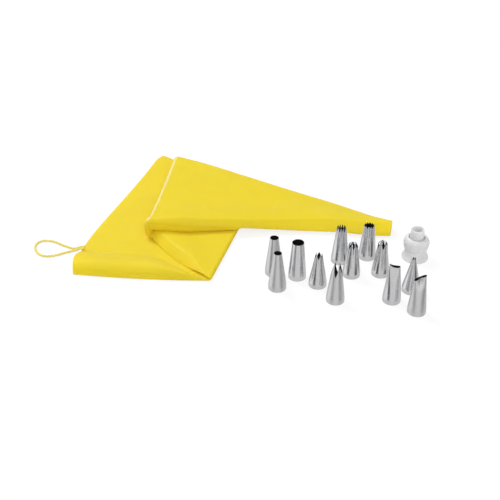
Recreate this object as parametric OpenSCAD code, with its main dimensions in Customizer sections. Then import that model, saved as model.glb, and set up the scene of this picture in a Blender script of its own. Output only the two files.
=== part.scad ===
// Piping bag set: a conical piping bag folded in three layers, a hanging loop,
// a two-piece nozzle coupler and twelve pressed steel nozzles standing beside it.
// Millimetres, +Z up. Origin: centre of the footprint, on the surface the set lies on.

/* [Bag] */
// Thickness of the bag's wall
bag_wall = 0.5; // [0.4:0.05:0.7]
// Half the thickness of a flat, pressed layer of the bag, both walls and the gap
layer_half = 1.3; // [1.2:0.05:1.4]
// Height that the puffed front roll stands above the flat layer
roll_h = 9.6; // [6:0.2:11]
// Width of the front roll, from the near edge to where it is flat again
roll_w = 42; // [36:1:46]
// How far the mouth's edge bows outwards
mouth_bow = 9; // [0:0.5:11]
// Rounding of the mouth's far corner
mouth_corner = 5; // [2:0.5:9]
// Half the height of the fold under the middle layer
low_fold_r = 1.9; // [1.8:0.05:2.1]
// Height of the middle layer at the near end of the crease
middle_near_z = 7.6; // [7:0.1:8.2]
// Height of the middle layer at the far end of the crease
middle_far_z = 6; // [5.5:0.1:6.5]
// Height of the crease at its near end, at the middle of the cloth
crease_near_z = 21.8; // [20.5:0.1:23]
// Height of the crease at its far end, at the middle of the cloth
crease_far_z = 15.4; // [15:0.1:17]
// How far the fold bulges out past the crease
crease_bulge = 4; // [3:0.25:6]
// How far the middle of the crease bends towards the tip
crease_bend = 2.2; // [0:0.2:3.6]
// Gap between the two bag halves along the crease
crease_gap = 0.8; // [0.6:0.1:1.2]
// How far the middle layer's near edge swells up
middle_puff = 3.2; // [0:0.2:4]
// How far the middle layer's near edge bows outwards
middle_bow = 7; // [4:0.5:8]
// How far the top layer's lower wall hangs down by its near edge
near_sag = 8; // [4:0.5:9]
// Half the thickness of the puffed top layer
puff_half = 3; // [2.6:0.1:3.2]
// How far the top layer's near edge swells up
near_puff = 4.5; // [0:0.5:6]
// Half the height of the open tip
tip_half = 4.4; // [4:0.1:4.5]

/* [Hanging loop] */
// Thickness of the loop's round cord
loop_d = 2.4; // [1.8:0.1:2.6]

/* [Nozzles] */
// Outside diameter of every nozzle's foot
nozzle_foot_d = 18; // [16:0.5:19]
// Height of the straight skirt at the foot
nozzle_skirt_h = 4; // [3:0.5:5]
// Thickness of the pressed steel
nozzle_wall = 0.5; // [0.4:0.05:0.6]

/* [Coupler] */
// Outside diameter of the coupler's flange
coupler_flange_d = 27; // [25:0.5:29]
// Height of the coupler's flange
coupler_flange_h = 3.2; // [2.5:0.1:4]
// Height of the tapered body, from the surface to the shoulder
coupler_body_h = 12.6; // [11:0.2:14]
// Diameter of the tapered body at the shoulder
coupler_shoulder_d = 22.6; // [22:0.1:23.4]
// Diameter of the threaded part inside the ring, over the threads
coupler_thread_d = 19.6; // [19:0.1:20]
// Diameter of the nose that a nozzle seats on
coupler_nose_d = 13.6; // [12:0.1:14.4]
// Total height of the coupler base
coupler_h = 34; // [32:0.5:37]
// Wall of the coupler base
coupler_wall = 1.4; // [1:0.1:1.6]
// Outside diameter of the screw ring, without its ribs
ring_d = 25.4; // [25:0.1:26]
// Height of the screw ring
ring_h = 12.4; // [11.5:0.1:13]
// Radial clearance between the ring and what it turns on
ring_clearance = 0.35; // [0.3:0.05:0.5]
// Number of grip ribs round the ring
ring_ribs = 24; // [16:2:32]
// Diameter of one grip rib
ring_rib_d = 1.2; // [0.8:0.1:1.4]
// Thickness of the ring's inward lip
ring_lip_h = 1.6; // [1.2:0.1:2]

/* [Hidden] */
$fn = 72;
nozzle_r = nozzle_foot_d / 2;

// Where each nozzle stands
MEDIUM_AT = [21, -87.6];
LARGE_AT = [44.4, -94.6];
SMALL_AT = [23.8, -113.4];
OPEN_STAR_AT = [64.3, -108.3];
LONG_TOOTH_AT = [79.9, -134];
FINE_TOOTH_AT = [89.9, -66];
CLOSED_STAR_AT = [99.5, -91.1];
FRENCH_STAR_AT = [119, -58.7];
SLIT_STAR_AT = [129.2, -89.3];
RUFFLE_AT = [134.9, -134];
WRITING_AT = [156.1, -117.6];
PETAL_AT = [156.6, -152.2];
COUPLER_AT = [169, -59.6];

// ---- small helpers -------------------------------------------------------------------

function mix(a, b, t) = a + (b - a) * t;
function clamp(t) = min(1, max(0, t));
function ease(t) = let (c = clamp(t)) c * c * (3 - 2 * c);

// Point at fraction t of a smooth curve through a list of points
function through(points, t) =
    let (
        last = len(points) - 1,
        k = min(last - 1, floor(t * last)),
        f = t * last - k,
        p0 = points[max(0, k - 1)],
        p1 = points[k],
        p2 = points[k + 1],
        p3 = points[min(last, k + 2)]
    )
    p1 + f / 2 * (p2 - p0 + f * (2 * p0 - 5 * p1 + 4 * p2 - p3 + f * (3 * (p1 - p2) + p3 - p0)));

// Triangles between two neighbouring rings of n points, that start at indices a and b
function band(a, b, n) = [for (j = [0:n - 1]) let (k = (j + 1) % n)
    each [[a + j, a + k, b + k], [a + j, b + k, b + j]]];

// The same triangles, seen from the other side
function back_band(a, b, n) = [for (face = band(a, b, n)) [face[2], face[1], face[0]]];

// A closed wall between an outer and an inner list of rings, open at both ends
module skin(outer, inner) {
    rings = len(outer);
    n = len(outer[0]);
    half = rings * n;
    points = [for (ring = outer) each ring, for (ring = inner) each ring];
    faces = [
        for (i = [0:rings - 2]) each band(i * n, (i + 1) * n, n),
        for (i = [0:rings - 2]) each back_band(half + i * n, half + (i + 1) * n, n),
        each band(half, 0, n),
        each band((rings - 1) * n, half + (rings - 1) * n, n)
    ];
    polyhedron(points, faces, convexity = 10);
}

// ---- the bag ---------------------------------------------------------------------------
// The bag is a flattened cone of cloth. Each layer is ruled between its near and its far
// edge. A station is one line across it, a list of these:
NEAR = 0; // near end
FAR = 1; // far end
HALF = 2; // half the thickness
ROLL = 3; // height of the front roll
ROLL_W = 4; // width of the front roll
MOUTH = 5; // share of the mouth's bow
PUFF = 6; // swelling by the near edge, of the wall that faces up at the mouth
BACK = 7; // the same of the other wall
NOSE = 8; // depth of the swelling
DROOP = 9; // how far the near edge hangs down
BEND = 10; // how far the middle lies towards the tip

mouth_near = [-183, -90.5, layer_half];
mouth_far = [-114, 162, layer_half];
low_fold_near = [-43.5, -104, layer_half];
low_fold_far = [6.5, 72.5, layer_half];
front_bow = 3.5;
crease_near = [-109, -27.5, crease_near_z];
crease_far = [-90, 133, crease_far_z];
low_fold_out = [0.962, -0.273, 0];
crease_out = [-0.993, 0.118, 0];
middle_near = [crease_near.x, crease_near.y - 2, middle_near_z];
middle_far = [crease_far.x, crease_far.y, middle_far_z];
up = [0, 0, 1];
edge_rounding = 3;
nose_min = 5;
middle_nose = 12;
crease_puff = 2.2;
middle_droop = 1.2;

// Share of the front roll's height and width that is left at fraction u of the bottom
// layer, from the mouth to its fold
function roll_left(u) = 1 - 0.42 * ease((u - 0.62) / 0.24) - 0.53 * ease((u - 0.8) / 0.2);
function roll_width_left(u) = 1 - 0.86 * ease((u - 0.4) / 0.55);

bottom_steps = 9;
bottom_stations = [for (i = [0:bottom_steps])
    let (
        u = i / bottom_steps,
        near = mix(mouth_near, low_fold_near - low_fold_r * low_fold_out, u)
            - [0, front_bow * sin(180 * u), 0],
        far = mix(mouth_far, low_fold_far - low_fold_r * low_fold_out, u)
    )
    [near, far, layer_half, roll_h * roll_left(u), roll_w * roll_width_left(u), 1 - ease(u / 0.6),
     0, 0, nose_min, 0, 0]];

low_fold_steps = 6;
low_fold_stations = [for (i = [1:low_fold_steps - 1])
    let (
        turn = 180 * i / low_fold_steps,
        shift = low_fold_r * ((sin(turn) - 1) * low_fold_out + (1 - cos(turn)) * up)
    )
    [low_fold_near + shift, low_fold_far + shift, layer_half, 0, roll_w, 0, 0, 0, nose_min, 0, 0]];

middle_steps = 6;
middle_start = 2 * low_fold_r * up - low_fold_r * low_fold_out;
middle_stations = [for (i = [0:middle_steps])
    let (
        u = i / middle_steps,
        swollen = ease(u / 0.4) * (1 - 0.5 * ease((u - 0.8) / 0.2)),
        bow = [0, middle_bow * sin(180 * pow(u, 1.3)), 0]
    )
    [mix(low_fold_near + middle_start, middle_near, u) - bow,
     mix(low_fold_far + middle_start, middle_far, u), layer_half, 0, roll_w, 0,
     0, middle_puff * swollen, mix(nose_min, middle_nose, swollen), middle_droop * swollen,
     crease_bend * ease((u - 0.4) / 0.6)]];

crease_steps = 8;
function crease_turn(low, high, turn) =
    mix(low, high, (1 - cos(turn)) / 2) + crease_bulge * sin(turn) * crease_out;
crease_stations = [for (i = [1:crease_steps])
    let (
        turn = 180 * i / crease_steps,
        back = i == crease_steps ? crease_gap / 2 * crease_out : [0, 0, 0]
    )
    [crease_turn(middle_near, crease_near, turn) + back,
     crease_turn(middle_far, crease_far, turn) + back, layer_half, 0, roll_w, 0,
     crease_puff * (1 - ease((turn - 120) / 60)), 0, nose_min, 0, crease_bend]];

mouth_stations = concat(bottom_stations, low_fold_stations, middle_stations, crease_stations);

// Fractions across the bag, closer together towards both edges
across_steps = 16;
across = [for (j = [0:across_steps]) let (t = j / across_steps) mix(pow(t, 1.8), 1 - pow(1 - t, 1.5), t)];

// Middle of the cloth at one station and one fraction across
function middle_point(station, v) =
    let (
        w = v * norm(station[FAR] - station[NEAR]),
        corner = mouth_corner * pow(clamp((v - 0.94) / 0.06), 2),
        bow = mouth_bow * sin(180 * pow(v, 0.7 - 0.2 * ease(v / 0.4))),
        hung = station[DROOP] * (1 - ease(w / (1.4 * station[NOSE])))
    )
    mix(station[NEAR], station[FAR], v)
    + [station[MOUTH] * (corner - bow) + station[BEND] * sin(180 * v), 0, -hung];

// Direction out of the cloth, on the side that faces up at the mouth
function cloth_normal(stations, i, v) =
    let (
        a = stations[max(0, i - 1)],
        b = stations[min(len(stations) - 1, i + 1)],
        n = cross(middle_point(b, v) - middle_point(a, v), stations[i][FAR] - stations[i][NEAR])
    )
    n / norm(n);

// Rounded rise of the cloth near an edge, as a share of the full thickness
function edge_share(w, width) = sqrt(clamp(min(w, width - w) / edge_rounding));

// Shape across the front roll, from the near edge to the flat cloth
function roll_share(w, roll_width) = pow(sin(180 * pow(clamp(w / roll_width), 0.62)), 1.1);

// Swelling by the near edge, w in from it
function swell(w, puff, nose) =
    puff * sqrt(1 - pow(1 - clamp(w / nose), 2)) * (1 - ease((w - nose) / (3.5 * nose)));

// One ring round the flattened bag; inset is 0 outside and the wall's thickness inside
function bag_ring(stations, i, inset) =
    let (
        s = stations[i],
        width = norm(s[FAR] - s[NEAR]),
        side = inset * 1.5 / width,
        top = [for (v = across)
            let (c = mix(side, 1 - side, v), w = v * width)
            middle_point(s, c) + cloth_normal(stations, i, c)
            * max(0.05, s[HALF] * edge_share(w, width) + s[ROLL] * roll_share(w, s[ROLL_W])
                + swell(w, s[PUFF], s[NOSE]) - inset)],
        bottom = [for (j = [across_steps - 1:-1:1])
            let (c = mix(side, 1 - side, across[j]))
            middle_point(s, c)
            - cloth_normal(stations, i, c) * max(0.05, s[HALF] * edge_share(across[j] * width, width)
                + swell(across[j] * width, s[BACK], s[NOSE]) - inset)]
    )
    concat(top, bottom);

module bag_mouth_half() {
    color([0.92, 0.84, 0.22])
    skin([for (i = [0:len(mouth_stations) - 1]) bag_ring(mouth_stations, i, 0)],
         [for (i = [0:len(mouth_stations) - 1]) bag_ring(mouth_stations, i, bag_wall)]);
}

// The top layer runs from the crease to the open tip and settles onto the surface
tip_near_edge = [crease_near - crease_gap / 2 * crease_out, [-62, -21, 15.2], [-20, -17.5, 10.8],
    [20, -13.5, 6.6], [56, -14.2, 4.6], [92, -17, 4.4], [126, -24, 4.5], [147.5, -24.5, 4.8]];
tip_far_edge = [crease_far - crease_gap / 2 * crease_out, [-58, 120.5, 13.2], [-20, 99.5, 11.6],
    [16, 80.5, 9.2], [52, 62.5, 6.4], [88, 42.8, 5], [122, 20.5, 4.7], [151.5, 1.5, 4.8]];
tip_steps = 16;
tip_across = 14;
tip_nose = 10;
sag_depth = 6;

function tip_thickness(u) =
    mix(mix(layer_half, puff_half, ease(u / 0.12)), tip_half, ease((u - 0.75) / 0.25));

function tip_ring(i, inset) =
    let (
        u = i / tip_steps,
        near = through(tip_near_edge, u),
        far = through(tip_far_edge, u),
        width = norm(far - near),
        side = inset * 1.5 / width,
        half = tip_thickness(u),
        puff = near_puff * ease(u / 0.1) * (1 - 0.7 * ease((u - 0.6) / 0.35)),
        sag = near_sag * pow(clamp(1 - u / 0.32), 1.6) * ease(u / 0.05),
        bend = crease_bend * (1 - ease(u / 0.35))
    )
    [for (j = [0:2 * tip_across - 1])
        let (
            turn = 180 * j / tip_across,
            v = (1 - cos(turn)) / 2,
            c = mix(side, 1 - side, v),
            w = v * width,
            lens = sign(sin(turn)) * pow(abs(sin(turn)), 0.7),
            swollen = j <= tip_across ? swell(w, puff, tip_nose)
                : -sag * ease(w / sag_depth) * (1 - ease((w - 20) / 40))
        )
        mix(near, far, c) + [bend * sin(180 * c), 0, lens * (half - inset) + swollen]];

module bag_tip_half() {
    color([0.92, 0.84, 0.22])
    skin([for (i = [0:tip_steps]) tip_ring(i, 0)],
         [for (i = [0:tip_steps]) tip_ring(i, bag_wall)]);
}

// ---- the hanging loop --------------------------------------------------------------------

LOOP_ROUTE = [[-177.5, -48.4, 5.4], [-181.5, -48.2, 5.1], [-184.7, -48.4, 4], [-188.1, -47.6, 2.6],
    [-193, -44.8, 1.5], [-197.7, -42, 1.3], [-202.3, -39.5, 1.3], [-209, -34.9, 1.3], [-215.5, -31.7, 1.3],
    [-222.6, -30.6, 1.3], [-227.9, -32.4, 1.3], [-230.9, -37.6, 1.3], [-230.7, -45.4, 1.3],
    [-227.8, -52.2, 1.3], [-223.4, -57.2, 1.3], [-217.8, -59.8, 1.3], [-211.6, -59.8, 1.3],
    [-204.5, -57.3, 1.3], [-198.5, -54.2, 1.4], [-193, -52, 1.7], [-188, -51.4, 2.8], [-184, -51.7, 4.4],
    [-181.5, -51.8, 5.3], [-177.5, -51.6, 5.6]];
loop_rings = 46;
loop_sides = 8;

function loop_ring(i) =
    let (
        p = through(LOOP_ROUTE, i / loop_rings),
        a = through(LOOP_ROUTE, max(0, i - 0.5) / loop_rings),
        b = through(LOOP_ROUTE, min(loop_rings, i + 0.5) / loop_rings),
        ahead = (b - a) / norm(b - a),
        side = cross(ahead, up) / norm(cross(ahead, up)),
        lift = cross(side, ahead)
    )
    [for (j = [0:loop_sides - 1])
        let (turn = 360 * j / loop_sides)
        p + loop_d / 2 * (cos(turn) * side + sin(turn) * lift)];

module hanging_loop() {
    rings = [for (i = [0:loop_rings]) loop_ring(i)];
    faces = [
        for (i = [0:loop_rings - 1]) each band(i * loop_sides, (i + 1) * loop_sides, loop_sides),
        [for (j = [loop_sides - 1:-1:0]) j],
        [for (j = [0:loop_sides - 1]) loop_rings * loop_sides + j]
    ];
    color([0.93, 0.86, 0.4]) polyhedron([for (ring = rings) each ring], faces, convexity = 6);
}

// ---- the nozzles -------------------------------------------------------------------------

module steel_at(place) {
    color([0.76, 0.77, 0.79]) translate([place.x, place.y, 0]) children();
}

// A plain pressed cone with a round outlet
module round_nozzle(height, outlet_d) {
    rotate_extrude()
    polygon([
        [nozzle_r - nozzle_wall, 0], [nozzle_r, 0], [nozzle_r, nozzle_skirt_h],
        [outlet_d / 2, height], [outlet_d / 2 - nozzle_wall, height],
        [nozzle_r - nozzle_wall, nozzle_skirt_h]
    ]);
}

// Cone radius at height z
function cone_r(z, height, outlet_r) =
    z < nozzle_skirt_h ? nozzle_r
    : mix(nozzle_r, outlet_r, (z - nozzle_skirt_h) / (height - nozzle_skirt_h));

// One ring of a toothed nozzle. level runs from 0 at the foot to 1 at the teeth's edge.
// cut: [teeth, depth of the notches, share of the pitch that a notch takes, its sharpness:
// 1 for a V and less for a round one]; form: [how far the teeth bend in, depth of the
// flutes, how far the end rounds over]
function tooth_ring(level, height, outlet_r, cut, form, per_tooth, inset) =
    let (
        n = cut[0] * per_tooth,
        fluted_from = height * 0.35,
        bent_depth = max(cut[1], form[2]) * 1.15
    )
    [for (j = [0:n - 1])
        let (
            turn = -360 * j / n,
            w = abs(2 * (j % per_tooth) / per_tooth - 1),
            top = height - cut[1] * pow(1 - clamp((1 - w) / cut[2]), cut[3]),
            z = level * top,
            near_top = clamp((z - height + bent_depth) / bent_depth),
            r = cone_r(z, height, outlet_r) - form[0] * pow(near_top, 2)
                - form[1] * w * ease((z - fluted_from) / (height - fluted_from))
                - form[2] * (1 - sqrt(1 - 0.98 * pow(near_top, 2))) - inset
        )
        [r * cos(turn), r * sin(turn), z]];

module toothed_nozzle(height, outlet_d, cut, form, turned = 0, per_tooth = 6) {
    levels = [0, nozzle_skirt_h / height, 0.45, 0.68, 0.84, 0.94, 1];
    rotate(turned)
    skin([for (t = levels) tooth_ring(t, height, outlet_d / 2, cut, form, per_tooth, 0)],
         [for (t = levels) tooth_ring(t, height, outlet_d / 2, cut, form, per_tooth, nozzle_wall)]);
}

// One ring of a nozzle whose round foot is pressed flat into a slot at the top.
// slot: [half length, half width, bow of the slot, rise of the +X end, dip of the rim's middle]
function slot_ring(level, height, slot, inset) =
    let (n = 32)
    [for (j = [0:n - 1])
        let (
            turn = -360 * j / n,
            x = cos(turn),
            y = sin(turn),
            top = height + slot[3] * x - slot[4] * (1 - x * x),
            z = level * top,
            s = clamp((z - nozzle_skirt_h) / (height - nozzle_skirt_h)),
            flat = pow(s, 1.6),
            wide = mix(nozzle_r, slot[0], s) - inset,
            deep = mix(nozzle_r * (1 - 0.25 * s), slot[1], flat) - inset,
            bowed = slot[2] * flat * (1 - x * x)
        )
        [wide * x, deep * y + bowed, z]];

module slot_nozzle(height, slot) {
    levels = [0, nozzle_skirt_h / height, 0.3, 0.5, 0.66, 0.8, 0.9, 1];
    skin([for (t = levels) slot_ring(t, height, slot, 0)],
         [for (t = levels) slot_ring(t, height, slot, nozzle_wall)]);
}

module round_nozzle_medium() { steel_at(MEDIUM_AT) round_nozzle(42, 7.9); }
module round_nozzle_large() { steel_at(LARGE_AT) round_nozzle(41, 11.4); }
module round_nozzle_small() { steel_at(SMALL_AT) round_nozzle(40.7, 7); }
module small_open_star_nozzle() {
    steel_at(OPEN_STAR_AT) toothed_nozzle(36.4, 7.4, cut = [6, 5, 0.85, 0.9], form = [0.3, 0.4, 0], turned = 30);
}
module long_tooth_star_nozzle() {
    steel_at(LONG_TOOTH_AT) toothed_nozzle(42.9, 10, cut = [5, 14, 1, 1], form = [0.8, 0.2, 0], turned = 54);
}
module fine_tooth_star_nozzle() {
    steel_at(FINE_TOOTH_AT) toothed_nozzle(41.3, 10, cut = [9, 4.5, 0.7, 0.7], form = [0.5, 0.45, 0],
        per_tooth = 4);
}
module closed_star_nozzle() {
    steel_at(CLOSED_STAR_AT) toothed_nozzle(38.5, 8.8, cut = [6, 6, 0.8, 0.6], form = [0.3, 0.7, 1.9],
        turned = 30);
}
module french_star_nozzle() {
    steel_at(FRENCH_STAR_AT) toothed_nozzle(38.5, 10.4, cut = [8, 1.8, 0.6, 0.6], form = [1.3, 0.45, 0],
        per_tooth = 4);
}
module slit_star_nozzle() {
    steel_at(SLIT_STAR_AT) toothed_nozzle(39.7, 7.4, cut = [4, 9, 0.75, 0.5], form = [0.1, 0.3, 2.2],
        turned = 5, per_tooth = 8);
}
module ruffle_nozzle() { steel_at(RUFFLE_AT) slot_nozzle(41, [5.2, 1.7, 1.6, -0.7, 1.6]); }
module writing_star_nozzle() {
    steel_at(WRITING_AT) toothed_nozzle(38.6, 3.6, cut = [5, 2, 0.6, 0.6], form = [0.3, 0.2, 0]);
}
module petal_nozzle() { steel_at(PETAL_AT) slot_nozzle(39.7, [5.3, 1.6, 0, 2.2, 0]); }

// ---- the coupler -------------------------------------------------------------------------

thread_top = coupler_body_h + ring_clearance + ring_h - ring_lip_h - ring_clearance;

module coupler_base() {
    flange_r = coupler_flange_d / 2;
    shoulder_r = coupler_shoulder_d / 2;
    thread_r = coupler_thread_d / 2;
    nose_r = coupler_nose_d / 2;
    color([0.9, 0.9, 0.9]) translate([COUPLER_AT.x, COUPLER_AT.y, 0])
    rotate_extrude()
    polygon([
        [flange_r - coupler_wall * 1.6, 0], [flange_r - 0.4, 0], [flange_r, 0.5],
        [flange_r, coupler_flange_h - 1], [flange_r - 1.6, coupler_flange_h],
        [shoulder_r, coupler_body_h - 0.8], [shoulder_r - 0.6, coupler_body_h],
        [thread_r, coupler_body_h], [thread_r, thread_top - 0.5], [thread_r - 0.5, thread_top],
        [nose_r + 0.4, thread_top], [nose_r, thread_top + 0.6],
        [nose_r - 0.3, coupler_h - 0.8], [nose_r - 0.9, coupler_h],
        [nose_r - coupler_wall, coupler_h], [nose_r - coupler_wall, thread_top],
        [thread_r - coupler_wall, thread_top - 4]
    ]);
}

module coupler_ring() {
    bottom = coupler_body_h + ring_clearance;
    outer_r = ring_d / 2;
    bore_r = coupler_thread_d / 2 + ring_clearance;
    lip_r = coupler_nose_d / 2 + 0.4 + 1.2;
    color([0.9, 0.9, 0.9]) translate([COUPLER_AT.x, COUPLER_AT.y, bottom]) {
        rotate_extrude()
        polygon([
            [bore_r, 0], [outer_r - 0.5, 0], [outer_r, 0.6], [outer_r, ring_h - 3.2],
            [outer_r - 0.8, ring_h - 1.4], [outer_r - 2.6, ring_h], [lip_r, ring_h],
            [lip_r, ring_h - ring_lip_h], [bore_r, ring_h - ring_lip_h]
        ]);
        for (i = [0:ring_ribs - 1])
            rotate(360 * i / ring_ribs) translate([outer_r - 0.1, 0, 0.8])
            cylinder(d = ring_rib_d, h = ring_h - 4.4, $fn = 16);
    }
}

bag_mouth_half();
bag_tip_half();
hanging_loop();
coupler_base();
coupler_ring();
round_nozzle_medium();
round_nozzle_large();
round_nozzle_small();
small_open_star_nozzle();
long_tooth_star_nozzle();
fine_tooth_star_nozzle();
closed_star_nozzle();
french_star_nozzle();
slit_star_nozzle();
ruffle_nozzle();
writing_star_nozzle();
petal_nozzle();
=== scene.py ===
"""Looks of the piping bag set: the folded bag, its hanging loop, twelve pressed
steel nozzles and a two-piece coupler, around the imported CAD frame. Metres, +Z up."""

import math

import bmesh
import bpy
from bpy.props import FloatProperty, FloatVectorProperty, PointerProperty
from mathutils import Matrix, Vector


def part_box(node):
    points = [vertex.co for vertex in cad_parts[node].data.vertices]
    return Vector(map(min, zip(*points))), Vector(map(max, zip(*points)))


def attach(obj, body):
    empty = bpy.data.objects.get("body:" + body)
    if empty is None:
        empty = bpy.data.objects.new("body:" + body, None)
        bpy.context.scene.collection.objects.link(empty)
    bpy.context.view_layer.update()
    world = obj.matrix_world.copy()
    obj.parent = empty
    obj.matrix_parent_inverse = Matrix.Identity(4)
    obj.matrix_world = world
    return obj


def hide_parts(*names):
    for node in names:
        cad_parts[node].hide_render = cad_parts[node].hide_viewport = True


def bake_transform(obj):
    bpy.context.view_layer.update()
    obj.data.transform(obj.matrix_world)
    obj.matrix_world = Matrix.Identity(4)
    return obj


bl_info = {
    "name": "Piping bag set",
    "version": (1, 0, 0),
    "blender": (4, 5, 0),
    "location": "3D View > Sidebar > Piping bag",
    "description": "Builds a folded piping bag with its nozzles and coupler",
    "category": "Add Mesh",
}

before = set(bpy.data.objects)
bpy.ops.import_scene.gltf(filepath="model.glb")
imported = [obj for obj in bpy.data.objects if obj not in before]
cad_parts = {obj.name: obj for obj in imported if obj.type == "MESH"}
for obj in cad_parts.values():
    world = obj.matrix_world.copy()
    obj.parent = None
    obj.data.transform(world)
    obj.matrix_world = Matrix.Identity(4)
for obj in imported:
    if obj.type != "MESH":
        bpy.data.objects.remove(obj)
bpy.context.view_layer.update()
MM = 0.001
WELD = 0.001 * MM  # vertices nearer than this are one
UP = Vector((0, 0, 1))


# ---- sizes and colours that a user would change ---------------------------------------------


class BagSettings(bpy.types.PropertyGroup):
    """Sizes and colour of the bag's film."""

    wall: FloatProperty(
        name="Wall", description="Thickness of the film", default=0.0005,
        min=0.0002, max=0.001, precision=5, unit="LENGTH",
    )
    roll_height: FloatProperty(
        name="Roll height", description="Rise of the puffed front roll", default=0.0096,
        min=0, max=0.012, precision=4, unit="LENGTH",
    )
    roll_width: FloatProperty(
        name="Roll width", description="Width of the puffed front roll", default=0.042,
        min=0.03, max=0.05, precision=4, unit="LENGTH",
    )
    mouth_bow: FloatProperty(
        name="Mouth bow", description="How far the mouth's edge bows out", default=0.0095,
        min=0, max=0.01, precision=4, unit="LENGTH",
    )
    film: FloatVectorProperty(
        name="Film", description="Colour of the film", subtype="COLOR", size=3,
        default=(0.845, 0.607, 0.006), min=0, max=1,
    )
    # Paler colour along the crease: partly the film's whitening where the fold stretches it, partly a
    # painted highlight where the fold's edge catches the light.
    crease_colour_and_highlight: FloatVectorProperty(
        name="Creased film", description="Colour of the film where a fold stretches it",
        subtype="COLOR", size=3, default=(0.92, 0.76, 0.28), min=0, max=1,
    )


class LoopSettings(bpy.types.PropertyGroup):
    """Size and colour of the hanging loop."""

    thickness: FloatProperty(
        name="Thickness", description="Diameter of the loop's cord", default=0.0024,
        min=0.001, max=0.003, precision=4, unit="LENGTH",
    )
    cord: FloatVectorProperty(
        name="Cord", description="Colour of the cord", subtype="COLOR", size=3,
        default=(0.82, 0.68, 0.14), min=0, max=1,
    )


class NozzleSettings(bpy.types.PropertyGroup):
    """Sizes and colour shared by the nozzles."""

    foot: FloatProperty(
        name="Foot", description="Outside diameter of a nozzle's foot", default=0.018,
        min=0.015, max=0.02, precision=4, unit="LENGTH",
    )
    skirt: FloatProperty(
        name="Skirt", description="Height of the straight skirt", default=0.0048,
        min=0.002, max=0.007, precision=4, unit="LENGTH",
    )
    wall: FloatProperty(
        name="Wall", description="Thickness of the pressed sheet", default=0.0004,
        min=0.0002, max=0.0008, precision=5, unit="LENGTH",
    )
    steel: FloatVectorProperty(
        name="Steel", description="Colour of the steel", subtype="COLOR", size=3,
        default=(0.79, 0.79, 0.8), min=0, max=1,
    )


class CouplerSettings(bpy.types.PropertyGroup):
    """Colour of the coupler's plastic."""

    plastic: FloatVectorProperty(
        name="Plastic", description="Colour of the milky plastic", subtype="COLOR", size=3,
        default=(0.74, 0.74, 0.745), min=0, max=1,
    )


class StageSettings(bpy.types.PropertyGroup):
    """Light and view."""

    key: FloatProperty(
        name="Key light", description="Power of the light behind and above", default=22.0,
        min=0, max=100, unit="POWER",
    )
    fill: FloatProperty(
        name="Fill light", description="Power of the large light in front", default=20.0,
        min=0, max=100, unit="POWER",
    )
    sky: FloatProperty(
        name="Sky", description="Strength of the even light all round", default=0.57,
        min=0, max=2,
    )


# ---- small helpers --------------------------------------------------------------------------


def at(x, y, z=0.0):
    """A point given in millimetres."""
    return Vector((x, y, z)) * MM


def mix(a, b, t):
    """The value at fraction t of the way from a to b."""
    return a + (b - a) * t


def clamp(t):
    return min(1.0, max(0.0, t))


def ease(t):
    """Rises smoothly from 0 at 0 to 1 at 1, and stays there."""
    t = clamp(t)
    return t * t * (3 - 2 * t)


def rises(t, start, span):
    """0 up to the start, 1 from the end of the span on, and a smooth rise between."""
    return ease((t - start) / span)


def through(points, t):
    """Point at fraction t of a smooth curve through the points."""
    last = len(points) - 1
    k = min(last - 1, int(t * last))
    f = t * last - k
    p0, p1 = points[max(0, k - 1)], points[k]
    p2, p3 = points[k + 1], points[min(last, k + 2)]
    curve = 2 * p0 - 5 * p1 + 4 * p2 - p3 + (3 * (p1 - p2) + p3 - p0) * f
    return p1 + (p2 - p0 + curve * f) * (f / 2)


def on_circle(radius, turn, z):
    """Point on a level circle, at a turn in radians."""
    return Vector((radius * math.cos(turn), radius * math.sin(turn), z))


def loft(name, around, along, place, fields=()):
    """A tube from a grid: place(u, v) gives the point at fraction u round it and v along it.
    Each field is (attribute name, function of u and v)."""
    bm = bmesh.new()
    half_side = 0.5
    bmesh.ops.create_grid(bm, x_segments=around, y_segments=along, size=half_side)
    layers = [(bm.verts.layers.float.new(key), value) for key, value in fields]
    spots = [(vert, vert.co.x + half_side, vert.co.y + half_side) for vert in bm.verts]
    uv = bm.loops.layers.uv.new("UVMap")
    where = {vert: (u, v) for vert, u, v in spots}
    for face in bm.faces:
        for corner in face.loops:
            corner[uv].uv = where[corner.vert]
    for vert, u, v in spots:
        for layer, value in layers:
            vert[layer] = value(u, v)
        vert.co = place(u, v)
    bmesh.ops.remove_doubles(bm, verts=bm.verts, dist=WELD)
    bmesh.ops.recalc_face_normals(bm, faces=bm.faces)
    mesh = bpy.data.meshes.new(name)
    bm.to_mesh(mesh)
    bm.free()
    piece = bpy.data.objects.new(name, mesh)
    bpy.context.scene.collection.objects.link(piece)
    return piece


def wall(piece, thickness, inner=0):
    """Gives the skin its wall, inwards. inner is the number of the inner face's material."""
    solid = piece.modifiers.new("Wall", "SOLIDIFY")
    solid.thickness = thickness
    solid.offset = -1
    solid.use_even_offset = False
    solid.material_offset = solid.material_offset_rim = inner


def bevelled(piece, width, angle):
    """Rounds the edges that are sharper than the angle, in degrees."""
    edge = piece.modifiers.new("Edge", "BEVEL")
    edge.width = width
    edge.segments = 2
    edge.limit_method = "ANGLE"
    edge.angle_limit = math.radians(angle)


def settle(piece, material, sharp, inner=None):
    """Applies the modifiers and shades the piece smooth up to the sharp angle, in degrees."""
    piece.data.materials.append(material)
    if inner:
        piece.data.materials.append(inner)
    shape = piece.evaluated_get(bpy.context.evaluated_depsgraph_get())
    mesh = bpy.data.meshes.new_from_object(shape)
    piece.modifiers.clear()
    piece.data = mesh
    mesh.name = piece.name
    mesh.shade_smooth()
    mesh.set_sharp_from_angle(angle=math.radians(sharp))
    return piece


# ---- materials ------------------------------------------------------------------------------


def new_material(name):
    material = bpy.data.materials.new(name)
    material.use_nodes = True
    nodes, links = material.node_tree.nodes, material.node_tree.links
    return material, nodes, links, nodes["Principled BSDF"]


def object_space(nodes):
    return nodes.new("ShaderNodeTexCoord").outputs["Object"]


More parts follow.
